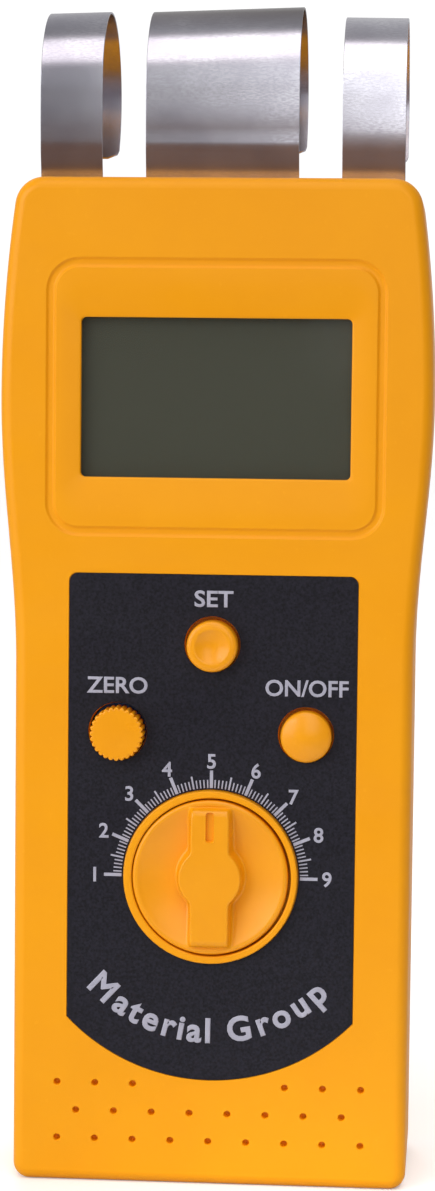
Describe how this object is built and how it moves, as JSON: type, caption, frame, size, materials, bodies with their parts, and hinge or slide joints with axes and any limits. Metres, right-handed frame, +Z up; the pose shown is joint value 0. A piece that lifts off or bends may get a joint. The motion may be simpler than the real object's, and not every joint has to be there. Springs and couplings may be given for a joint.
{
  "type": "moisture meter",
  "caption": "Handheld moisture meter with a display, a rotary setting dial, push buttons and sprung steel hoop electrodes on top.",
  "frame": {"origin": "centre of the flat base that the meter stands on", "axes": "+X to the user's right, +Y from the front face to the back, +Z up towards the electrodes"},
  "size_m": [0.0598, 0.0291, 0.1649],
  "materials": {
    "case_yellow": "satin, fine mould texture",
    "control_yellow": "satin",
    "overlay_dark": "matt, fine grain",
    "window_clear": "clear",
    "lcd_glass": "grey-green display glass",
    "lcd_reflector": "matt reflector film",
    "white_plastic": "moulded",
    "black_plastic": "moulded",
    "contact_rubber": "striped elastomer",
    "board_green": "solder mask",
    "chip_black": "moulded resin",
    "can_steel": "drawn can",
    "capacitor_sleeve": "shrink sleeve",
    "pot_blue": "moulded",
    "shaft_steel": "turned",
    "screw_steel": "zinc plated",
    "spring_steel": "satin, brushed across the strip",
    "terminal_brass": "stamped",
    "battery_jacket": "plain printed jacket",
    "label_silver": "blank foil label",
    "lead_red": "insulation",
    "lead_black": "insulation",
    "foam_grey": "foam"
  },
  "bodies": {
    "case": {"front_case": "case_yellow", "rear_case": "case_yellow", "case_screws": "screw_steel", "rear_label": "label_silver", "control_overlay": "overlay_dark", "display_window": "window_clear", "lcd_glass": "lcd_glass", "lcd_frame": "white_plastic", "lcd_reflector": "lcd_reflector", "lcd_contacts": "contact_rubber", "dial_pot": "pot_blue", "zero_pot": "pot_blue", "set_switch": "black_plastic", "power_switch": "black_plastic", "main_board": "board_green", "meter_chip": "chip_black", "crystal": "can_steel", "oscillator_coil": "can_steel", "capacitors": "capacitor_sleeve", "resistors": "chip_black", "board_screws": "screw_steel", "left_terminal": "terminal_brass", "centre_terminal": "terminal_brass", "right_terminal": "terminal_brass", "terminal_screws": "screw_steel", "electrode_carrier": "black_plastic", "battery": "battery_jacket", "battery_poles": "can_steel", "battery_snap": "black_plastic", "positive_lead": "lead_red", "negative_lead": "lead_black", "battery_pad": "foam_grey"},
    "dial": {"dial_knob": "control_yellow", "dial_shaft": "shaft_steel"},
    "zero_control": {"zero_knob": "control_yellow", "zero_shaft": "shaft_steel"},
    "set_key": {"set_button": "control_yellow", "set_plunger": "black_plastic"},
    "power_key": {"power_button": "control_yellow", "power_plunger": "black_plastic"},
    "battery_cover": {"battery_door": "case_yellow"},
    "left_hoop": {"left_electrode": "spring_steel"},
    "centre_hoop": {"centre_electrode": "spring_steel"},
    "right_hoop": {"right_electrode": "spring_steel"}
  },
  "joints": [
    {"name": "dial_turn", "type": "hinge", "parent": "case", "child": "dial", "pos_m": [0, -0.0129, 0.0438], "axis": [0, 1, 0], "range_deg": [-90, 90]},
    {"name": "zero_turn", "type": "hinge", "parent": "case", "child": "zero_control", "pos_m": [-0.0131, -0.013, 0.06375], "axis": [0, 1, 0], "range_deg": [-135, 135]},
    {"name": "set_press", "type": "slide", "parent": "case", "child": "set_key", "axis": [0, 1, 0], "range_m": [0, 0.0008], "stiffness_N_per_m": 2500},
    {"name": "power_press", "type": "slide", "parent": "case", "child": "power_key", "axis": [0, 1, 0], "range_m": [0, 0.0008], "stiffness_N_per_m": 2500},
    {"name": "battery_door_slide", "type": "slide", "parent": "case", "child": "battery_cover", "axis": [0, 0, -1], "range_m": [0, 0.058]},
    {"name": "left_hoop_flex", "type": "hinge", "parent": "case", "child": "left_hoop", "pos_m": [0, -0.0086, 0.1392], "axis": [-1, 0, 0], "range_deg": [0, 5], "stiffness_Nm_per_rad": 0.6},
    {"name": "centre_hoop_flex", "type": "hinge", "parent": "case", "child": "centre_hoop", "pos_m": [0, -0.0086, 0.1392], "axis": [-1, 0, 0], "range_deg": [0, 5], "stiffness_Nm_per_rad": 0.6},
    {"name": "right_hoop_flex", "type": "hinge", "parent": "case", "child": "right_hoop", "pos_m": [0, -0.0086, 0.1392], "axis": [-1, 0, 0], "range_deg": [0, 5], "stiffness_Nm_per_rad": 0.6}
  ]
}
